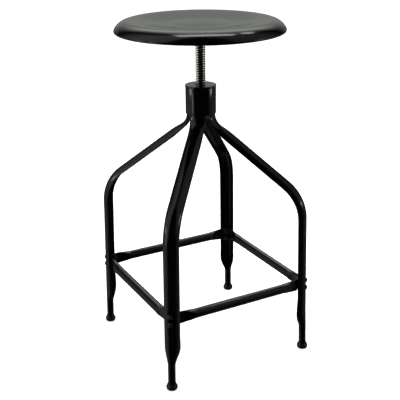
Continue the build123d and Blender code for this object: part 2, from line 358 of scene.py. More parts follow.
def moulded_plastic(finish, name):
    """Matt moulded plastic: fine spark-eroded grain, dusty scuffs near the floor."""
    shader = new_shader(name)
    where = shader.place()
    grain = shader.noise(where, 1500.0, 2.0, 0.6)
    scuff = shader.worn(shader.noise(where, 300.0, 4.0, 0.7), 0.45, 0.62)
    tone = finish.plastic
    colour = shader.blend(grain, tone, scaled(tone, 1.7))
    colour = shader.blend(scuff * 0.4, colour, (0.05, 0.049, 0.047))
    roughness = 0.2 + 0.12 * grain + 0.15 * scuff
    normal = shader.bump(grain, 0.06 * MM)
    return surface(name, colour, roughness, normal)


FINISHES = {
    "seat_paint": lambda f, name: black_paint(f, name, 620.0, 0.012 * MM, f.paint_roughness),
    "frame_paint": lambda f, name: black_paint(f, name, 780.0, 0.014 * MM, f.paint_roughness),
    "bright_steel": bright_screw,
    "plain_steel": lambda f, name: turned_steel(name, f.steel),
    "weld_steel": lambda f, name: turned_steel(name, scaled(f.steel, 0.6), 60.0, 0.5),
    "zinc_fastener": lambda f, name: turned_steel(name, f.zinc, 300.0, 0.26),
    "black_fastener": black_oxide,
    "foot_plastic": moulded_plastic,
}


def finish_named(name):
    """One of the stool's materials, made the first time it is asked for."""
    found = bpy.data.materials.get(f"stool_{name}")
    return found or FINISHES[name](bpy.context.scene.stool_finish, f"stool_{name}")


# ------------------------------------------------------------------ mesh making


def ease(value, low, high):
    """0 below low, 1 above high, and a smooth rise between them."""
    t = min(max((value - low) / (high - low), 0.0), 1.0)
    return t * t * (3 - 2 * t)


def arc(centre, radius, start, turn, steps):
    """Points of an arc in a plane, angles in degrees, the first point included."""
    angles = [math.radians(start + turn * step / steps) for step in range(steps + 1)]
    return [
        (centre[0] + radius * math.cos(a), centre[1] + radius * math.sin(a)) for a in angles
    ]


def softened(corners, radius, steps=3):
    """A closed outline whose corners are rounded. A corner may carry its own radius."""
    outline = []
    count = len(corners)
    for index, corner in enumerate(corners):
        here = Vector(corner[:2])
        before = Vector(corners[index - 1][:2]) - here
        after = Vector(corners[(index + 1) % count][:2]) - here
        reach = corner[2] if len(corner) > 2 else radius
        reach = min(reach, 0.45 * before.length, 0.45 * after.length)
        if reach < 1e-7:
            outline.append(tuple(here))
            continue
        start = here + before.normalized() * reach
        end = here + after.normalized() * reach
        for step in range(steps + 1):
            t = step / steps
            point = start * (1 - t) ** 2 + here * 2 * t * (1 - t) + end * t**2
            outline.append(tuple(point))
    return outline


class MeshMaker:
    """Collects rings of points into closed skins, then makes one object of them."""

    def __init__(self, name):
        self.name = name
        self.mesh = bmesh.new()
        for mark in ("edge", "root"):
            self.mesh.verts.layers.float.new(mark)

    def layer(self, name):
        """A number carried by each point: how near it is to an edge or to a thread's root."""
        return self.mesh.verts.layers.float[name]

    def skin(self, rings, closed=True, looped=False, marks=None, mark="edge", fans=False):
        """Quads between rings of equal length. closed joins a ring's ends, looped the rings'."""
        layer = self.layer(mark)
        grid = []
        for row, ring in enumerate(rings):
            made = [self.mesh.verts.new(point) for point in ring]
            if marks:
                for vertex, value in zip(made, marks[row]):
                    vertex[layer] = value
            grid.append(made)
        rows = len(grid)
        count = len(grid[0])
        for row in range(rows if looped else rows - 1):
            near = grid[row]
            far = grid[(row + 1) % rows]
            for column in range(count if closed else count - 1):
                following = (column + 1) % count
                self.mesh.faces.new(
                    (near[column], near[following], far[following], far[column])
                )
        if fans:
            self.mesh.faces.new(reversed(grid[0]))
            self.mesh.faces.new(grid[-1])

    def merge(self):
        """Join points that lie on each other."""
        bmesh.ops.remove_doubles(self.mesh, verts=self.mesh.verts, dist=2e-6)
        bmesh.ops.dissolve_degenerate(self.mesh, edges=self.mesh.edges, dist=2e-6)

    def close_ends(self):
        """Close every open end of the skins with a flat face."""
        self.merge()
        open_edges = [edge for edge in self.mesh.edges if edge.is_boundary]
        bmesh.ops.holes_fill(self.mesh, edges=open_edges, sides=0)

    def join_to_tube(self, outer, low, high):
        """Join the two open ends of an inner skin to a plain tube round it."""
        self.merge()
        rims = []
        for level in (low, high):
            edges = [
                edge
                for edge in self.mesh.edges
                if edge.is_boundary and all(abs(v.co.z - level) < 1e-5 for v in edge.verts)
            ]
            made = bmesh.ops.extrude_edge_only(self.mesh, edges=edges)["geom"]
            for item in made:
                if isinstance(item, bmesh.types.BMVert):
                    item.co.xy = item.co.xy.normalized() * outer
            rims += [item for item in made if isinstance(item, bmesh.types.BMEdge)]
        rims = [edge for edge in rims if edge.is_boundary]
        bmesh.ops.bridge_loops(self.mesh, edges=rims)
        self.settle_order()

    def settle_order(self):
        """Number points and faces by their places, so that every run gives the same mesh."""
        spots = {item: item.co for item in self.mesh.verts}
        middles = {item: item.calc_center_median() for item in self.mesh.faces}
        for group, places in ((self.mesh.verts, spots), (self.mesh.faces, middles)):
            ordered = sorted(group, key=lambda item: [round(c, 6) for c in places[item]])
            for index, item in enumerate(ordered):
                item.index = index
            group.sort()

    def finish(self, body, slot, replaced=(), crease=32.0):
        """Clean the skins, make the object, hide the frame parts that it replaces and attach it to
        the body that it moves with.
        """
        self.merge()
        bmesh.ops.recalc_face_normals(self.mesh, faces=self.mesh.faces)
        for face in self.mesh.faces:
            face.smooth = True
        data = bpy.data.meshes.new(self.name)
        self.mesh.to_mesh(data)
        self.mesh.free()
        data.set_sharp_from_angle(angle=math.radians(crease))
        piece = bpy.data.objects.new(self.name, data)
        bpy.context.scene.collection.objects.link(piece)
        data.materials.append(finish_named(slot))
        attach(piece, body)
        if replaced:
            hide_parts(*replaced)
        return piece


def polar(radius, angle, height):
    """A point at a distance from the Z axis, at an angle round it and at a height."""
    return Vector((radius * math.cos(angle), radius * math.sin(angle), height))


def turned_rings(profile, steps, axis=Matrix.Identity(4)):
    """Rings of a profile of (radius, height) turned round an axis."""
    return [
        [axis @ polar(radius, math.tau * step / steps, height) for step in range(steps)]
        for radius, height in profile
    ]


def edge_marks(outline, closed=True, reach=1.2 * MM):
    """How near each point of an outline is to one of its sharp turns, from 0 to 1."""
    count = len(outline)
    turns = []
    for index in range(count):
        here = Vector(outline[index])
        before = here - Vector(outline[index - 1])
        after = Vector(outline[(index + 1) % count]) - here
        at_end = not closed and index in (0, count - 1)
        short = before.length < 1e-9 or after.length < 1e-9
        turn = 0.0 if at_end or short else before.angle(after)
        tight = turn / max(before.length + after.length, 1e-9) * reach
        turns.append(min(1.0, tight))
    return turns


def turn_piece(maker, profile, steps, axis=Matrix.Identity(4), looped=True):
    """Turn a profile into a skin, with its sharp corners marked as edges."""
    marks = [[value] * steps for value in edge_marks(profile, looped)]
    maker.skin(turned_rings(profile, steps, axis), looped=looped, marks=marks)


def hex_radius(flats, angle):
    """Distance from a hexagon's middle to its side at an angle."""
    sector = math.radians(60)
    return flats / 2 / math.cos((angle % sector) - sector / 2)


HEX_STEPS = 72
CHAMFER_START = 0.97
FLAT_WEAR = 0.2
CORNER_WEAR = 0.8


def hex_rings(flats, low, high, axis):
    """Rings of a hexagon prism's outside, its corners chamfered at both ends."""
    corner = flats / 2 / math.cos(math.radians(30))
    slope = math.tan(math.radians(30))
    round_part = flats / 2 * CHAMFER_START
    rings = []
    for level, inward, full in ((low, 1, False), (low, 1, True), (high, -1, True), (high, -1, False)):
        ring = []
        for step in range(HEX_STEPS):
            angle = math.tau * step / HEX_STEPS
            radius = min(hex_radius(flats, angle), corner)
            out = radius if full else min(radius, round_part)
            drop = max(0.0, radius - round_part) * slope if full else 0.0
            ring.append(axis @ polar(out, angle, level + inward * drop))
        rings.append(ring)
    return rings


def hex_piece(maker, flats, low, high, bore, axis):
    """A hexagon nut, or a bolt head if the bore is 0, worn on its corners."""
    rings = hex_rings(flats, low, high, axis)
    ends = turned_rings([(bore, high), (bore, low)], HEX_STEPS, axis)
    wear = [FLAT_WEAR, CORNER_WEAR, CORNER_WEAR, FLAT_WEAR]
    if bore > 0:
        rings += ends
        wear += [FLAT_WEAR, FLAT_WEAR]
    else:
        rings = [ends[1], *rings, ends[0]]
        wear = [FLAT_WEAR, *wear, FLAT_WEAR]
    marks = [[value] * HEX_STEPS for value in wear]
    maker.skin(rings, looped=bore > 0, marks=marks)


def thread_profile(depth):
    """One pitch of a thread as (share of the pitch, depth below the crest)."""
    crest = 0.36
    flank = 0.147
    soft = 0.03
    return [
        (0.0, 0.0),
        (crest - soft, 0.0),
        (crest, 0.05 * depth),
        (crest + flank, 0.95 * depth),
        (crest + flank + soft, depth),
        (1 - flank - soft, depth),
        (1 - flank, 0.95 * depth),
        (1 - soft, 0.05 * depth),
    ]


def depth_at(profile, phase):
    """Depth of a thread at a share of its pitch."""
    points = [*profile, (1.0, profile[0][1])]
    for (low, depth_low), (high, depth_high) in zip(points, points[1:]):
        if low <= phase <= high:
            return depth_low + (depth_high - depth_low) * (phase - low) / (high - low)
    return profile[0][1]


def thread_skin(
    maker, crest, depth, pitch, low, high, steps, axis=Matrix.Identity(4), chamfer=0.0, start=None
):
    """A right-hand helical thread between two heights, its ends thinned by a chamfer.

    Row k of the skin climbs one pitch in a turn, so that its last point meets the row one
    pitch above. Rows beyond an end lie flat on it.
    """
    profile = thread_profile(depth)
    start = low if start is None else start
    mark = maker.layer("root")
    count = len(profile)
    grid = []
    for row in range(-2 * count, (math.ceil((high - start) / pitch) + 1) * count):
        whole, index = divmod(row, count)
        made = []
        for step in range(steps + 1):
            around = step / steps
            wanted = start + pitch * (whole + profile[index][0] + around)
            height = min(max(wanted, low), high)
            fall = profile[index][1]
            if height != wanted:
                fall = depth_at(profile, ((height - start) / pitch - around) % 1.0)
            fall = max(fall, chamfer - min(height - low, high - height))
            radius = crest - fall
            spot = polar(radius, math.tau * around, height)
            vertex = maker.mesh.verts.new(axis @ spot)
            vertex[mark] = fall / depth
            made.append(vertex)
        grid.append(made)
    for near, far in zip(grid, grid[1:]):
        for step in range(steps):
            corners = (near[step], near[step + 1], far[step + 1], far[step])
            maker.mesh.faces.new(corners)


class BentLine:
    """A line in a plane made of straight runs joined by arcs."""

    def __init__(self, corners, radii):
        self.parts = []
        here = Vector(corners[0])
        for index in range(1, len(corners) - 1):
            corner = Vector(corners[index])
            back = (Vector(corners[index - 1]) - corner).normalized()
            ahead = (Vector(corners[index + 1]) - corner).normalized()
            turn = math.pi - back.angle(ahead)
            reach = radii[index - 1] * math.tan(turn / 2)
            start = corner + back * reach
            side = 1.0 if (-back).cross(ahead) > 0 else -1.0
            self.add_run(here, start)
            self.parts.append(("bend", start, -back, radii[index - 1], side, turn))
            here = corner + ahead * reach
        self.add_run(here, Vector(corners[-1]))
        self.length = sum(self.part_length(part) for part in self.parts)

    def add_run(self, start, end):
        """Append a straight run."""
        self.parts.append(("run", start, (end - start).normalized(), (end - start).length))

    @staticmethod
    def part_length(part):
        """Length of a run or a bend."""
        return part[3] if part[0] == "run" else part[3] * part[5]

    def at(self, distance):
        """Point and direction at a distance along the line."""
        left = min(max(distance, 0.0), self.length)
        for part in self.parts:
            size = self.part_length(part)
            if left <= size or part is self.parts[-1]:
                break
            left -= size
        start, ahead = part[1], part[2]
        if part[0] == "run":
            return start + ahead * left, ahead
        radius, side = part[3], part[4]
        turn = side * left / radius
        across = Vector((-ahead.y, ahead.x)) * side
        centre = start + across * radius
        spin = Matrix.Rotation(turn, 2)
        return centre + spin @ (start - centre), spin @ ahead


def spaced(low, high, step):
    """Evenly spaced numbers from low to high, about a step apart."""
    count = max(1, round((high - low) / step))
    return [low + (high - low) * index / count for index in range(count + 1)]


def turn_about_z(angle):
    """A turn round the stool's own axis."""
    return Matrix.Rotation(angle, 4, "Z")


def each_leg():
    """Each leg's name and its angle round the stool."""
    return [(name, FIRST_LEG_ANGLE + QUARTER * number) for number, name in enumerate(CORNERS)]


# ------------------------------------------------------------------ seat


DISH_STEP = 2.5 * MM
DISH_BLUR = 6
SHOULDER_STEPS = 24
ROLL_STEPS = 16
ROLL_TURN = 175


def dish_fall(sizes, radius):
    """Depth of the seat's dish, with its low boss, below the rim's crest."""
    dish = sizes.dish_depth * (1 - ease(radius, sizes.dish_floor, sizes.rim_crest))
    return dish - sizes.boss_rise * max(0.0, 1 - (radius / sizes.boss_radius) ** 2)


def pan_outline(sizes):
    """Outer skin of the seat pan, from its middle to the tip of the rolled edge."""
    crest = sizes.rim_crest
    blur = [step * MM for step in range(-DISH_BLUR, DISH_BLUR + 1)]
    points = []
    for radius in spaced(0.0, crest, DISH_STEP)[:-1]:
        fall = sum(dish_fall(sizes, abs(radius + shift)) for shift in blur) / len(blur)
        points.append((radius, PAN_HIGH.z - fall))
    reach = sizes.rim_shoulder - sizes.rim_roll
    turn = math.asin((PAN_HIGH.x - sizes.rim_roll - crest) / reach)
    shoulder = (crest, PAN_HIGH.z - sizes.rim_shoulder)
    roll = (PAN_HIGH.x - sizes.rim_roll, shoulder[1] + reach * math.cos(turn))
    fall = math.degrees(turn)
    points += arc(shoulder, sizes.rim_shoulder, 90, -fall, SHOULDER_STEPS)
    points += arc(roll, sizes.rim_roll, 90 - fall, -ROLL_TURN, ROLL_STEPS)[1:]
    return points


def inset(points, depth):
    """The same outline, moved to its inner side by a depth."""
    moved = []
    for index, point in enumerate(points):
        before = Vector(points[max(index - 1, 0)])
        after = Vector(points[min(index + 1, len(points) - 1)])
        ahead = (after - before).normalized()
        moved.append((point[0] + ahead.y * depth, point[1] - ahead.x * depth))
    moved[0] = (0.0, moved[0][1])
    return moved


class STOOL_OT_seat_pan(Operator):
    """Press the seat pan: shallow dish, rounded shoulder and rolled lower edge"""

    bl_idname = "stool.seat_pan"
    bl_label = "Seat Pan"

    def execute(self, context):
        sizes = context.scene.stool_sizes
        outer = pan_outline(sizes)
        inner = inset(outer, sizes.pan_sheet)
        tip = ((outer[-1][0] + inner[-1][0]) / 2, (outer[-1][1] + inner[-1][1]) / 2)
        ahead = (Vector(outer[-1]) - Vector(outer[-2])).normalized() * sizes.pan_sheet / 2
        profile = [*outer, (tip[0] + ahead.x, tip[1] + ahead.y), *reversed(inner)]
        maker = MeshMaker("pressed_seat_pan")
        steps = sizes.round_steps
        marks = []
        for index in range(len(profile)):
            near_tip = 1 - min(abs(index - len(outer)) / 4, 1.0)
            marks.append([near_tip] * steps)
        maker.skin(turned_rings(profile, steps), marks=marks)
        maker.finish("seat", "seat_paint", ["seat_pan"])
        return {"FINISHED"}


TURNED_STEPS = 96
SPOT_WELDS = 6
WELD_AROUND = 180
WELD_ACROSS = 12
WELD_SIZE = 2.1 * MM
WELD_SINK = 1.2 * MM
SOCKET_RADIUS = 1.5 * MM


class STOOL_OT_seat_mount(Operator):
    """Make the mounting plate, the hub with its weld, and the hub's locking screw"""

    bl_idname = "stool.seat_mount"
    bl_label = "Seat Mount"

    def execute(self, context):
        self.plate()
        self.hub()
        self.weld()
        self.locking_screw()
        return {"FINISHED"}

    def plate(self):
        """Round plate with rounded edges and six spot-weld dimples on its lower face."""
        radius = PLATE_HIGH.x
        low, high = PLATE_LOW.z, PLATE_HIGH.z
        outline = softened(
            [(0, high, 0), (radius, high, 0.4 * MM), (radius, low, 1.0 * MM), (0, low, 0)],
            0.5 * MM,
        )
        maker = MeshMaker("pan_mounting_plate")
        turn_piece(maker, outline, TURNED_STEPS, looped=False)
        dimple = [(0, 0.7 * MM), (2.2 * MM, 0.5 * MM), (3.2 * MM, -0.3 * MM), (3.9 * MM, 0.3 * MM)]
        for number in range(SPOT_WELDS):
            spot = polar(0.78 * radius, math.tau * number / SPOT_WELDS, low)
            turn_piece(maker, dimple, 24, Matrix.Translation(spot), looped=False)
        maker.finish("seat", "frame_paint", ["mounting_plate"])

    def hub(self):
        """Turned hub with a chamfered nose."""
        radius = HUB_HIGH.x
        bore = SPINDLE_HIGH.x + 0.05 * MM
        low, high = HUB_LOW.z, HUB_HIGH.z
        outline = softened(
            [
                (bore, high),
                (radius, high),
                (radius, low + 1.5 * MM),
                (radius - 1.5 * MM, low),
                (bore + 0.6 * MM, low),
                (bore, low + 0.6 * MM),
            ],
            0.25 * MM,
        )
        maker = MeshMaker("spindle_hub_boss")
        turn_piece(maker, outline, TURNED_STEPS)
        maker.finish("seat", "plain_steel", ["spindle_hub"])

    def weld(self):
        """Rippled weld bead between the hub and the plate."""
        radius = HUB_HIGH.x + WELD_SINK
        level = PLATE_LOW.z - WELD_SINK
        rings = []
        for step in range(WELD_AROUND):
            angle = math.tau * step / WELD_AROUND
            ripple = 1 + 0.10 * math.sin(34 * angle) + 0.04 * math.sin(13 * angle + 1)
            size = WELD_SIZE * ripple
            ring = []
            for part in range(WELD_ACROSS):
                turn = math.tau * part / WELD_ACROSS
                out = radius + size * math.cos(turn)
                ring.append(polar(out, angle, level + size * math.sin(turn)))
            rings.append(ring)
        maker = MeshMaker("hub_weld_bead")
        maker.skin(rings, looped=True)
        maker.finish("seat", "weld_steel")

    def locking_screw(self):
        """Set screw with a hexagon socket, screwed in from the side of the hub."""
        low, high = box_of("hub_locking_screw")
        middle = (low.z + high.z) / 2
        radius = (high.z - low.z) / 2
        place = Matrix.Translation((low.x, 0, middle)) @ Matrix.Rotation(QUARTER, 4, "Y")
        reach = high.x - low.x
        maker = MeshMaker("hub_set_screw")
        socket = SOCKET_RADIUS
        outline = [
            (0, 0),
            (radius - 1 * MM, 0),
            (radius, 1 * MM),
            (radius, reach - 0.5 * MM),
            (radius - 0.5 * MM, reach),
            (socket * 1.1, reach),
            (socket, reach - 0.2 * MM),
            (socket, reach - 3 * MM),
            (0, reach - 3.4 * MM),
        ]
        turn_piece(maker, outline, 48, place, looped=False)
        maker.finish("seat", "black_fastener", ["hub_locking_screw"])


# ------------------------------------------------------------------ spindle


THREAD_STEPS = 64
SPINDLE_CHAMFER = 2.4 * MM


class STOOL_OT_spindle(Operator):
    """Cut the spindle's trapezoidal thread, with its chamfered lower end"""

    bl_idname = "stool.spindle"
    bl_label = "Screw Spindle"

    def execute(self, context):
        sizes = context.scene.stool_sizes
        maker = MeshMaker("screw_spindle")
        thread_skin(
            maker,
            SPINDLE_HIGH.x,
            sizes.thread_depth,
            sizes.thread_pitch,
            SPINDLE_LOW.z,
            SPINDLE_HIGH.z,
            steps=THREAD_STEPS,
            chamfer=SPINDLE_CHAMFER,
        )
        maker.close_ends()
        maker.finish("seat", "bright_steel", ["spindle"])
        return {"FINISHED"}


class STOOL_OT_spindle_stop(Operator):
    """Make the loose stop washer and the bolt that holds it on the spindle"""

    bl_idname = "stool.spindle_stop"
    bl_label = "Spindle Stop"

    def execute(self, context):
        low, high = WASHER_LOW.z, WASHER_HIGH.z
        outline = softened(
            [(WASHER_HIGH.x, high), (WASHER_HIGH.x, low), (4.3 * MM, low), (4.3 * MM, high)],
            0.5 * MM,
        )
        maker = MeshMaker("loose_stop_washer")
        turn_piece(maker, outline, 72)
        maker.finish("lift", "zinc_fastener", ["stop_washer"])
        self.bolt()
        return {"FINISHED"}

    def bolt(self):
        """Hexagon bolt with a washer face under its head."""
        head_low = STOP_LOW.z
        head_high = WASHER_LOW.z - 0.15 * MM
        flats = STOP_HIGH.y - STOP_LOW.y
        maker = MeshMaker("spindle_stop_bolt")
        hex_piece(maker, flats, head_low, head_high - 0.3 * MM, 0.0, Matrix.Identity(4))
        shank = [
            (0, head_high - 0.6 * MM),
            (flats * 0.46, head_high - 0.6 * MM),
            (flats * 0.46, head_high),
            (4 * MM, head_high),
            (4 * MM, STOP_HIGH.z - 1 * MM),
            (3.2 * MM, STOP_HIGH.z),
            (0, STOP_HIGH.z),
        ]
        turn_piece(maker, shank, 48, looped=False)
        maker.finish("seat", "zinc_fastener", ["stop_bolt"])


# ------------------------------------------------------------------ collar


COLLAR_STEPS = 128
SLEEVE_WALL = 1.85 * MM
TUBE_WALL = 2.5 * MM
CAP_HOLE = 12.2 * MM
THREAD_ROOM = 0.15 * MM


class STOOL_OT_collar(Operator):
    """Make the collar: outer sleeve, cap, inner tube and the threaded bush"""

    bl_idname = "stool.collar"
    bl_label = "Collar"

    def execute(self, context):
        sizes = context.scene.stool_sizes
        self.tube("outer_collar_sleeve", "collar_sleeve", SLEEVE_WALL, "frame_paint")
        self.tube("inner_collar_tube", "inner_tube", TUBE_WALL, "plain_steel")
        self.cap()
        self.bush(sizes)
        return {"FINISHED"}

    def tube(self, name, node, wall, slot):
        """A plain tube with softened ends."""
        low, high = box_of(node)
        outline = softened(
            [
                (high.x, high.z),
                (high.x, low.z, 0.8 * MM),
                (high.x - wall, low.z),
                (high.x - wall, high.z),
            ],
            0.5 * MM,
        )
        maker = MeshMaker(name)
        turn_piece(maker, outline, COLLAR_STEPS)
        maker.finish("frame", slot, [node])

    def cap(self):
        """Round cover: rounded rim, a shallow ring round the spindle's hole, and a lip below."""
        rim = CAP_HIGH.x
        top = CAP_HIGH.z
        seat_level = SLEEVE_HIGH.z
        hole = CAP_HOLE
        lip_out = SLEEVE_HIGH.x - 2.0 * MM
        lip_in = TUBE_HIGH.x + 0.15 * MM
        outline = softened(
            [
                (hole, top - 0.4 * MM, 0.5 * MM),
                (hole + 2.2 * MM, top - 0.4 * MM, 0.3 * MM),
                (hole + 2.8 * MM, top, 0.3 * MM),
                (rim, top, 1.6 * MM),
                (rim, seat_level, 0.4 * MM),
                (lip_out, seat_level, 0.2 * MM),
                (lip_out, CAP_LOW.z, 0.5 * MM),
                (lip_in, CAP_LOW.z, 0.5 * MM),
                (lip_in, seat_level, 0.2 * MM),
                (hole, seat_level, 0.5 * MM),
            ],
            0.4 * MM,
            steps=5,
        )
        maker = MeshMaker("collar_top_cap")
        turn_piece(maker, outline, COLLAR_STEPS)
        maker.finish("frame", "frame_paint", ["collar_cap"])

    def bush(self, sizes):
        """The nut: a plain outside, and the spindle's own thread inside with running room."""
        low, high = BUSH_LOW.z, BUSH_HIGH.z
        maker = MeshMaker("threaded_nut_bush")
        thread_skin(
            maker,
            SPINDLE_HIGH.x + THREAD_ROOM,
            sizes.thread_depth,
            sizes.thread_pitch,
            low,
            high,
            steps=THREAD_STEPS,
            start=SPINDLE_LOW.z,
        )
        maker.join_to_tube(BUSH_HIGH.x, low, high)
        maker.finish("frame", "plain_steel", ["threaded_bush"])


# ------------------------------------------------------------------ legs


class STOOL_OT_legs(Operator):
    """Press the four legs: half-round channels that close to a tube at the ankle"""

    bl_idname = "stool.legs"
    bl_label = "Legs"

    def execute(self, context):
        sizes = context.scene.stool_sizes
        rings, marks = leg_rings(sizes)
        for corner, angle in each_leg():
            turn = turn_about_z(angle)
            maker = MeshMaker(f"channel_leg_{corner}")
            maker.skin([[turn @ point for point in ring] for ring in rings], marks=marks)
            maker.close_ends()
            maker.finish("frame", "frame_paint", [f"leg_{corner}"], crease=50)
        return {"FINISHED"}


LEG_END_HEIGHT = 8 * MM
ANKLE_TOP = 100 * MM
ANKLE_BOTTOM = 57 * MM
TUBE_SEAM = 0.5 * MM
TOP_OUTER_RADIUS = 31 * MM
OPENING_START = 56 * MM
OPENING_END = 116 * MM
PAD_SINK = 0.7 * MM
PAD_TURN = 0.6
OUTLINE_STEPS = 30
COLLAR_PART = 50 * MM
ANKLE_PART = 110 * MM


def leg_line(sizes):
    """A leg's middle line in its own upright plane, as (distance from the axis, height)."""
    corners = [
        (LEG_NECK[0], LEG_HIGH.z),
        LEG_NECK,
        LEG_KNEE,
        (FOOT_CIRCLE - LEG_SLOPE * LEG_END_HEIGHT, LEG_END_HEIGHT),
    ]
    return BentLine(corners, [sizes.neck_bend, sizes.knee_bend])


def leg_form(sizes, height, distance):
    """Mouth width, depth and outward shift of the channel at a place along the leg."""
    half = sizes.leg_top_width / 2
    top_depth = TOP_OUTER_RADIUS - math.sqrt(TOP_OUTER_RADIUS**2 - half**2)
    opened = ease(distance, OPENING_START, OPENING_END)
    width = sizes.leg_top_width + (sizes.leg_width - sizes.leg_top_width) * opened
    depth = top_depth + (sizes.leg_depth - top_depth) * opened
    closed = min(max((ANKLE_TOP - height) / (ANKLE_TOP - ANKLE_BOTTOM), 0.0), 1.0)
    width = TUBE_SEAM + (width - TUBE_SEAM) * math.cos(QUARTER * closed) ** 0.9
    swell = 2.6 * MM * ease(height, ANKLE_BOTTOM, 84 * MM) * (1 - ease(height, 90 * MM, 140 * MM))
    tube = (sizes.ankle_tube - sizes.leg_depth) * ease(closed, 0, 1)
    return width, depth + tube + swell, -swell / 2


def leg_outline(sizes, height, distance):
    """Closed outline of the bent sheet at a place along the leg, across and outward."""
    width, depth, shift = leg_form(sizes, height, distance)
    sheet = sizes.leg_sheet
    radius = ((width / 2) ** 2 + depth**2) / (2 * depth)
    half_turn = math.asin(min(width / 2 / radius, 1.0))
    if depth > radius:
        half_turn = math.pi - half_turn
    middle = shift + depth / 2 - radius
    pad = 1 - ease(abs(height - RUNG_HEIGHT), 15 * MM, 24 * MM)
    flat_at = shift + depth / 2 - PAD_SINK * pad
    count = OUTLINE_STEPS
    outside, inside = [], []
    for step in range(count + 1):
        angle = -half_turn + 2 * half_turn * step / count
        out = (radius * math.sin(angle), middle + radius * math.cos(angle))
        into = ((radius - sheet) * math.sin(angle), middle + (radius - sheet) * math.cos(angle))
        if abs(angle) < PAD_TURN:
            out = (out[0], min(out[1], flat_at))
            into = (into[0], min(into[1], flat_at - sheet))
        outside.append(out)
        inside.append(into)
    bulge = min(0.4 * sheet, 0.4 * (radius - sheet) * math.sin(half_turn))
    lips = []
    for side, ends in ((1, (outside[-1], inside[-1])), (-1, (inside[0], outside[0]))):
        start, end = map(Vector, ends)
        push = Vector((side * math.cos(half_turn), -math.sin(half_turn))) * bulge
        swells = ((0.08, 0.55), (0.28, 0.9), (0.5, 1.0), (0.72, 0.9), (0.92, 0.55))
        lips.append([tuple(start.lerp(end, t) + push * swell) for t, swell in swells])
    outline = outside + lips[0] + inside[::-1] + lips[1]
    open_lip = 1 - ease(half_turn, 2.4, 3.0)
    marks = [0.0] * len(outline)
    for index in (*range(count - 1, count + 8), *range(-7, 1)):
        marks[index] = 0.6 * open_lip
    return outline, marks


def leg_rings(sizes):
    """Rings of one leg that stands along +X, and how rubbed each point is."""
    line = leg_line(sizes)
    ankle = line.length - ANKLE_PART
    stations = spaced(0, COLLAR_PART, 10 * MM)
    stations += spaced(COLLAR_PART, ankle, 6 * MM)[1:]
    stations += spaced(ankle, line.length, 2.5 * MM)[1:]
    rings, marks = [], []
    for distance in stations:
        point, ahead = line.at(distance)
        outward = Vector((-ahead.y, ahead.x))
        outline, rubbed = leg_outline(sizes, point.y, distance)
        ring = []
        for across, out in outline:
            spot = point + outward * out
            ring.append(Vector((spot.x, across, spot.y)))
        rings.append(ring)
        marks.append(rubbed)
    return rings, marks


# ------------------------------------------------------------------ rungs


RUNG_CORNER = 236.5 * MM
FLARE_START = 110 * MM
FLARE_END = 141 * MM
OUTER_TAB_REACH = 11 * MM
INNER_TAB_REACH = 7.2 * MM
RUNG_BEND = 6 * MM
RUNG_AROUND = 40
TIP_PART = 8 * MM
CORNER_ROUND = 7 * MM
LAP_ROOM = 0.05 * MM


def mouth_radius(sizes):
    """Distance of the legs' open side from the axis, at the height of the rungs."""
    return FOOT_CIRCLE - LEG_SLOPE * RUNG_HEIGHT - sizes.leg_depth / 2


def tab_end(tab_radius, reach, distance):
    """Corner and tip of a rung's bent end, in the rung's own level plane."""
    corner = math.sqrt(2) * tab_radius - distance
    run = ((distance - corner) / math.sqrt(2) + reach) / math.sqrt(2)
    return (corner, 0.0), (corner + run, run)


def rung_outline(flat, half_thick, half_high):
    """Outline of a rung as it is pressed from round to flat, with a slight waist in between."""
    power = 2 + 5 * flat
    waist = 0.35 * math.sin(math.pi * flat)
    outline = []
    for step in range(RUNG_AROUND):
        angle = math.tau * step / RUNG_AROUND
        side, up = math.cos(angle), math.sin(angle)
        grow = (abs(side) ** power + abs(up) ** power) ** (-1 / power)
        squeeze = 1 - waist * max(0.0, 1 - (up * grow) ** 2 * 1.6)
        outline.append((side * grow * half_thick * squeeze, up * grow * half_high))
    return outline


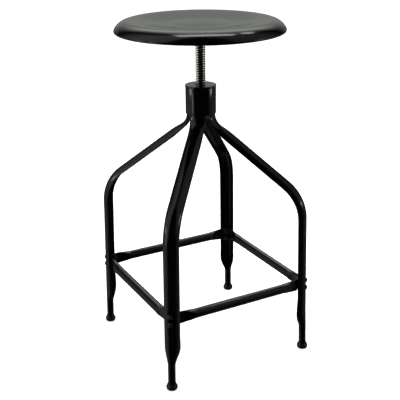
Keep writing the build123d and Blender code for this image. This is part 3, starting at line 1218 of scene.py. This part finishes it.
class STOOL_OT_rungs(Operator):
    """Bend the four rungs: tubes whose flattened ends lie across the legs"""

    bl_idname = "stool.rungs"
    bl_label = "Rungs"

    def execute(self, context):
        sizes = context.scene.stool_sizes
        distance = RUNG_CORNER / math.sqrt(2)
        mouth = mouth_radius(sizes)
        tab = sizes.tab_thickness
        far = tab_end(mouth - 0.5 * tab, OUTER_TAB_REACH, distance)
        near = tab_end(mouth - 1.5 * tab - LAP_ROOM, INNER_TAB_REACH, distance)
        mirrored = [(-x, y) for x, y in reversed(far)]
        line = BentLine([*mirrored, *near], [RUNG_BEND, RUNG_BEND])
        rings, marks = self.rings(sizes, line, distance)
        for number, side in enumerate(SIDES):
            turn = turn_about_z(QUARTER * number)
            maker = MeshMaker(f"foot_rung_{side}")
            maker.skin([[turn @ p for p in ring] for ring in rings], marks=marks, fans=True)
            maker.finish("frame", "frame_paint", [f"rung_{side}"], crease=45)
        return {"FINISHED"}

    def rings(self, sizes, line, distance):
        """Rings of the front rung along its bent line."""
        radius = sizes.rung_radius
        tab_half = sizes.tab_thickness / 2
        high_half = (RUNG_HIGH.z - RUNG_LOW.z) / 2
        rings, marks = [], []
        ends = spaced(0, TIP_PART, 0.8 * MM)
        stations = ends + spaced(TIP_PART, line.length - TIP_PART, 3 * MM)[1:-1]
        stations += [line.length - d for d in reversed(ends)]
        for place in stations:
            point, ahead = line.at(place)
            along = abs(point.x)
            flat = ease(along, FLARE_START, FLARE_END)
            from_tip = min(place, line.length - place)
            cut = max(0.0, CORNER_ROUND - from_tip)
            height = radius + (high_half - radius) * ease(along, FLARE_START + 6 * MM, FLARE_END)
            height -= CORNER_ROUND - math.sqrt(max(CORNER_ROUND**2 - cut**2, 0.0))
            thick = radius + (tab_half - radius) * ease(flat, 0.0, 1.0)
            across = Vector((-ahead.y, ahead.x))
            ring = []
            for side, up in rung_outline(flat, thick, height):
                spot = point + across * side
                ring.append(Vector((spot.x, spot.y - distance, RUNG_HEIGHT + up)))
            rings.append(ring)
            wear = 0.5 * (1 - ease(along, 60 * MM, 110 * MM)) + 0.4 * ease(along, 148 * MM, 156 * MM)
            ups = [math.sin(math.tau * step / RUNG_AROUND) for step in range(RUNG_AROUND)]
            marks.append([wear * max(0.0, up) for up in ups])
        return rings, marks


# ------------------------------------------------------------------ fasteners


def radial_place(angle, radius, height):
    """Frame of a fastener whose own Z points outward from the stool's axis."""
    out = Matrix.Translation((radius, 0, height)) @ Matrix.Rotation(QUARTER, 4, "Y")
    return turn_about_z(angle) @ out


BOLT_SHANK = 2.95 * MM
BOLT_REACH = 28 * MM
BOLT_SOCKET = 2 * MM
DOME_HEIGHT = 3.7 * MM
DOME_FOOT = 0.6 * MM
WASHER_BORE = 3.2 * MM
WASHER_RADIUS = 6 * MM
WASHER_THICKNESS = 1.2 * MM
NUT_FLATS = 10 * MM
NUT_HEIGHT = 5 * MM
FASTENER_STEPS = 48


class STOOL_OT_rung_fasteners(Operator):
    """Make the dome-headed bolts, washers and nuts that join rungs and legs"""

    bl_idname = "stool.rung_fasteners"
    bl_label = "Rung Fasteners"

    def execute(self, context):
        sizes = context.scene.stool_sizes
        bolts = MeshMaker("dome_bolts")
        washers = MeshMaker("flat_washers")
        nuts = MeshMaker("hex_nuts")
        back = mouth_radius(sizes) - 2 * sizes.tab_thickness - LAP_ROOM
        for _, angle in each_leg():
            for side in (-1, 1):
                height = RUNG_HEIGHT + side * sizes.bolt_spacing / 2
                face = FOOT_CIRCLE - LEG_SLOPE * height + sizes.leg_depth / 2 - 0.6 * MM
                self.bolt(bolts, sizes, radial_place(angle, face, height))
                under = back - WASHER_THICKNESS
                self.washer(washers, radial_place(angle, under, height))
                self.nut(nuts, radial_place(angle, under - NUT_HEIGHT, height))
        bolts.finish("frame", "black_fastener", ["rung_bolts"])
        washers.finish("frame", "black_fastener", ["rung_washers"])
        nuts.finish("frame", "black_fastener", ["rung_nuts"])
        return {"FINISHED"}

    def bolt(self, maker, sizes, place):
        """A dome-headed bolt with a hexagon socket and a threaded shank."""
        head = sizes.bolt_head
        tall = DOME_HEIGHT
        dome = []
        for part in range(8):
            turn = QUARTER * part / 10
            dome.append((head * math.cos(turn), DOME_FOOT + (tall - DOME_FOOT) * math.sin(turn)))
        outline = [
            (0, -0.2 * MM),
            (head - 0.3 * MM, -0.2 * MM),
            (head, 0.1 * MM),
            *dome,
            (BOLT_SOCKET + 0.25 * MM, tall * 0.985),
            (BOLT_SOCKET, tall * 0.93),
            (BOLT_SOCKET, tall - 2.2 * MM),
            (0, tall - 2.6 * MM),
        ]
        turn_piece(maker, outline, FASTENER_STEPS, place, looped=False)
        flip = place @ Matrix.Rotation(math.pi, 4, "X")
        depth, pitch = 0.45 * MM, sizes.bolt_pitch
        thread_skin(maker, BOLT_SHANK, depth, pitch, 0.0, BOLT_REACH, 16, flip, chamfer=0.5 * MM)
        maker.close_ends()

    def washer(self, maker, place):
        """A flat washer with softened edges."""
        corners = [
            (WASHER_BORE, 0),
            (WASHER_RADIUS, 0),
            (WASHER_RADIUS, WASHER_THICKNESS),
            (WASHER_BORE, WASHER_THICKNESS),
        ]
        turn_piece(maker, softened(corners, 0.25 * MM), FASTENER_STEPS, place)

    def nut(self, maker, place):
        """A hexagon nut with chamfered corners."""
        hex_piece(maker, NUT_FLATS, 0.0, NUT_HEIGHT, BOLT_SHANK, place)


# ------------------------------------------------------------------ feet


class STOOL_OT_feet(Operator):
    """Mould the four feet: cups with a rounded flange under the leg tubes"""

    bl_idname = "stool.feet"
    bl_label = "Feet"

    def execute(self, context):
        radius = (FOOT_HIGH.x - FOOT_LOW.x) / 2
        top = FOOT_HIGH.z
        cup = 8.6 * MM
        floor = 7.8 * MM
        outline = softened(
            [
                (0, 0, 0),
                (radius - 2.4 * MM, 0, 1.2 * MM),
                (radius - 0.4 * MM, 3.0 * MM, 2 * MM),
                (radius, 6.4 * MM, 2 * MM),
                (radius - 0.6 * MM, 9.2 * MM, 1.6 * MM),
                (radius - 2.6 * MM, 10.6 * MM, 1.2 * MM),
                (radius - 2.8 * MM, top, 0.7 * MM),
                (cup, top, 0.3 * MM),
                (cup, floor, 0.2 * MM),
                (0, floor, 0),
            ],
            0.4 * MM,
            steps=5,
        )
        for corner, angle in each_leg():
            place = turn_about_z(angle) @ Matrix.Translation((FOOT_CIRCLE, 0, 0))
            maker = MeshMaker(f"moulded_foot_{corner}")
            turn_piece(maker, outline, 64, place, looped=False)
            maker.finish("frame", "foot_plastic", [f"foot_{corner}"])
        return {"FINISHED"}


# ------------------------------------------------------------------ stage


VIEW_TURN = math.radians(-28.6)
VIEW_DISTANCE = 1.659
VIEW_HEIGHT = 0.981
VIEW_PITCH = math.radians(21.03)
VIEW_PAN = math.radians(0.14)
VIEW_ROLL = math.radians(-0.64)
VIEW_LENS = 70.89
SENSOR_WIDTH = 36.0
AIM_HEIGHT = 0.45
FLOOR_HALF = 13.6
FLOOR_GLOW = 0.72
WALL_PROFILE = ((13.5, -0.5), (13.5, 6.0), (10.0, 12.0), (0.1, 14.0))
STRIP_SKEW = math.radians(8)
ROOM_TINT = (0.965, 1, 0.945, 1)

# Each lamp's name, its place as seen from the camera (right, away, up), its size and its watts.
LAMPS = (
    ("overhead_strip", (0.12, 0.14, 2.6), (1.4, 0.44), 12),
    ("corner_lamp", (1.05, 0.66, 2.5), (0.45, 0.35), 2.4),
    ("side_card", (-1.07, -0.545, 0.27), (0.16, 0.42), 0.5),
    ("spindle_card", (-1.18, -0.2, 0.47), (0.34, 0.1), 0.55),
    ("spindle_card", (1.18, -0.2, 0.47), (0.34, 0.1), 0.55),
    ("fill_lamp", (0.0, 0.6, 4.0), (5.0, 5.0), 130),
)

# Light of the room by direction: a share of a full turn from the back, over the right side,
# the front (0.5) and the left side, and the light's strength there.
LOW_ROOM = (
    (0.06, 0.03),
    (0.12, 0.06),
    (0.205, 0.18),
    (0.267, 0.12),
    (0.32, 0.06),
    (0.35, 0.0),
    (0.63, 0.0),
    (0.667, 0.15),
    (0.71, 0.36),
    (0.795, 0.30),
    (0.88, 0.10),
    (0.94, 0.03),
)
HIGH_ROOM = (
    (0.14, 0.0),
    (0.22, 0.25),
    (0.33, 0.25),
    (0.39, 0.0),
    (0.61, 0.0),
    (0.66, 0.6),
    (0.77, 0.6),
    (0.86, 0.0),
)


class STOOL_OT_stage(Operator):
    """Set up the pale floor, the soft studio light and the camera"""

    bl_idname = "stool.stage"
    bl_label = "Stage"

    def execute(self, context):
        self.floor(context)
        self.backdrop(context)
        self.sky(context)
        self.lamps(context)
        self.camera(context)
        return {"FINISHED"}

    def floor(self, context):
        """A wide pale floor with the faintest unevenness and a glow of its own."""
        shader = new_shader("studio_floor")
        tone = context.scene.stool_finish.floor
        cloud = shader.noise(shader.place(), 1.5, 3.0)
        colour = shader.blend(cloud, scaled(tone, 0.985), tone)
        glow = {"Emission Color": (1, 1, 1, 1), "Emission Strength": FLOOR_GLOW}
        material = surface("studio_floor", colour, 0.75 + 0.1 * cloud, **glow)
        data = bpy.data.meshes.new("studio_floor")
        mesh = bmesh.new()
        bmesh.ops.create_grid(mesh, x_segments=4, y_segments=4, size=FLOOR_HALF)
        mesh.to_mesh(data)
        mesh.free()
        floor = bpy.data.objects.new("studio_floor", data)
        floor.location.z = -0.0002
        floor.visible_glossy = False
        data.materials.append(material)
        context.scene.collection.objects.link(floor)

    def backdrop(self, context):
        """A plain white wall far round the floor. It lights nothing and is not reflected."""
        shader = new_shader("studio_wall")
        glow = shader.node("ShaderNodeEmission", None, {"Color": (1, 1, 1, 1), "Strength": 1.0})
        shader.node("ShaderNodeOutputMaterial", None, {"Surface": glow})
        maker = MeshMaker("studio_wall")
        maker.skin(turned_rings(WALL_PROFILE, 48))
        data = bpy.data.meshes.new("studio_wall")
        maker.mesh.to_mesh(data)
        maker.mesh.free()
        data.materials.append(bpy.data.materials["studio_wall"])
        wall = bpy.data.objects.new("studio_wall", data)
        wall.visible_diffuse = False
        wall.visible_glossy = False
        wall.visible_transmission = False
        wall.visible_shadow = False
        context.scene.collection.objects.link(wall)

    def sky(self, context):
        """The room's own light: dark in front, grey at the sides, bright above and behind."""
        world = bpy.data.worlds.new("studio_room")
        context.scene.world = world
        world.use_nodes = True
        shader = Shader(world.node_tree)
        ray = shader.node("ShaderNodeTexCoord", output="Generated")
        ahead = self.along(shader, ray, (math.sin(VIEW_TURN), -math.cos(VIEW_TURN), 0.0))
        leftward = self.along(shader, ray, (-math.cos(VIEW_TURN), -math.sin(VIEW_TURN), 0.0))
        height = self.along(shader, ray, (0.0, 0.0, 1.0))
        azimuth = leftward.math("ARCTAN2", leftward, ahead) / math.tau + 0.5
        low = shader.ramp(azimuth, *LOW_ROOM)
        behind = shader.ramp(azimuth, (0.05, 1.0), (0.12, 0.0), (0.88, 0.0), (0.95, 1.0))
        rear = shader.ramp(height, (0.24, 0.2), (0.38, 0.26), (0.48, 0.55), (0.62, 1.0), (0.9, 0.6))
        high = shader.ramp(azimuth, *HIGH_ROOM) + 2.2 * behind * rear
        raised = shader.ramp(height * 0.5 + 0.5, (0.48, 0.0), (0.55, 1.0))
        strength = low * (1.0 - raised) + high * raised
        inputs = {"Color": ROOM_TINT, "Strength": strength}
        light = shader.node("ShaderNodeBackground", None, inputs)
        shader.node("ShaderNodeOutputWorld", None, {"Surface": light})

    def along(self, shader, ray, direction):
        """How much a ray points in a direction, from -1 to 1."""
        settings = {"operation": "DOT_PRODUCT"}
        return shader.node("ShaderNodeVectorMath", settings, {0: ray, 1: direction}, "Value")

    def lamps(self, context):
        """Soft lamps overhead and at the sides, and a wide one that only fills the room."""
        turn = Matrix.Rotation(VIEW_TURN, 3, "Z")
        for name, spot, size, power in LAMPS:
            lamp = self.soft_box(context, name, turn @ Vector(spot), size, power)
            if name == "overhead_strip":
                lamp.rotation_euler = (0.0, 0.0, VIEW_TURN + STRIP_SKEW)
            lamp.visible_glossy = name != "fill_lamp"

    def soft_box(self, context, name, place, size, power):
        """A soft rectangular lamp aimed at the middle of the stool."""
        data = bpy.data.lights.new(name, "AREA")
        data.shape = "RECTANGLE"
        data.size, data.size_y = size
        data.energy = power
        lamp = bpy.data.objects.new(name, data)
        lamp.location = place
        lamp.visible_camera = False
        aim = Vector((0, 0, AIM_HEIGHT)) - place
        lamp.rotation_euler = aim.to_track_quat("-Z", "Y").to_euler()
        context.scene.collection.objects.link(lamp)
        return lamp

    def camera(self, context):
        """The camera, a little above the seat and looking down on it."""
        data = bpy.data.cameras.new("stool_camera")
        data.lens = VIEW_LENS
        data.sensor_width = SENSOR_WIDTH
        data.clip_end = 60
        camera = bpy.data.objects.new("stool_camera", data)
        spot = Vector(
            (
                math.sin(VIEW_TURN) * VIEW_DISTANCE,
                -math.cos(VIEW_TURN) * VIEW_DISTANCE,
                VIEW_HEIGHT,
            )
        )
        look = Matrix.Rotation(VIEW_TURN + VIEW_PAN, 4, "Z")
        look = look @ Matrix.Rotation(QUARTER - VIEW_PITCH, 4, "X")
        look = look @ Matrix.Rotation(VIEW_ROLL, 4, "Z")
        camera.matrix_world = Matrix.Translation(spot) @ look
        context.scene.collection.objects.link(camera)
        context.scene.camera = camera
        context.scene.view_settings.view_transform = "Standard"


# ------------------------------------------------------------------ add-on


class STOOL_PT_panel(Panel):
    """Lists the stool's pieces in the sidebar"""

    bl_idname = "STOOL_PT_panel"
    bl_label = "Swivel Stool"
    bl_space_type = "VIEW_3D"
    bl_region_type = "UI"
    bl_category = "Stool"

    def draw(self, context):
        for operator in OPERATORS:
            self.layout.operator(operator.bl_idname)
        for group in (context.scene.stool_sizes, context.scene.stool_finish):
            box = self.layout.box()
            for name in group.__annotations__:
                box.prop(group, name)


OPERATORS = (
    STOOL_OT_seat_pan,
    STOOL_OT_seat_mount,
    STOOL_OT_spindle,
    STOOL_OT_spindle_stop,
    STOOL_OT_collar,
    STOOL_OT_legs,
    STOOL_OT_rungs,
    STOOL_OT_rung_fasteners,
    STOOL_OT_feet,
    STOOL_OT_stage,
)
CLASSES = (StoolSizes, StoolFinish, *OPERATORS, STOOL_PT_panel)


def register():
    for made in CLASSES:
        bpy.utils.register_class(made)
    bpy.types.Scene.stool_sizes = PointerProperty(type=StoolSizes)
    bpy.types.Scene.stool_finish = PointerProperty(type=StoolFinish)


def unregister():
    del bpy.types.Scene.stool_finish
    del bpy.types.Scene.stool_sizes
    for made in reversed(CLASSES):
        bpy.utils.unregister_class(made)


def main():
    register()
    bpy.ops.stool.seat_pan()
    bpy.ops.stool.seat_mount()
    bpy.ops.stool.spindle()
    bpy.ops.stool.spindle_stop()
    bpy.ops.stool.collar()
    bpy.ops.stool.legs()
    bpy.ops.stool.rungs()
    bpy.ops.stool.rung_fasteners()
    bpy.ops.stool.feet()
    bpy.ops.stool.stage()


if __name__ == "__main__":
    main()
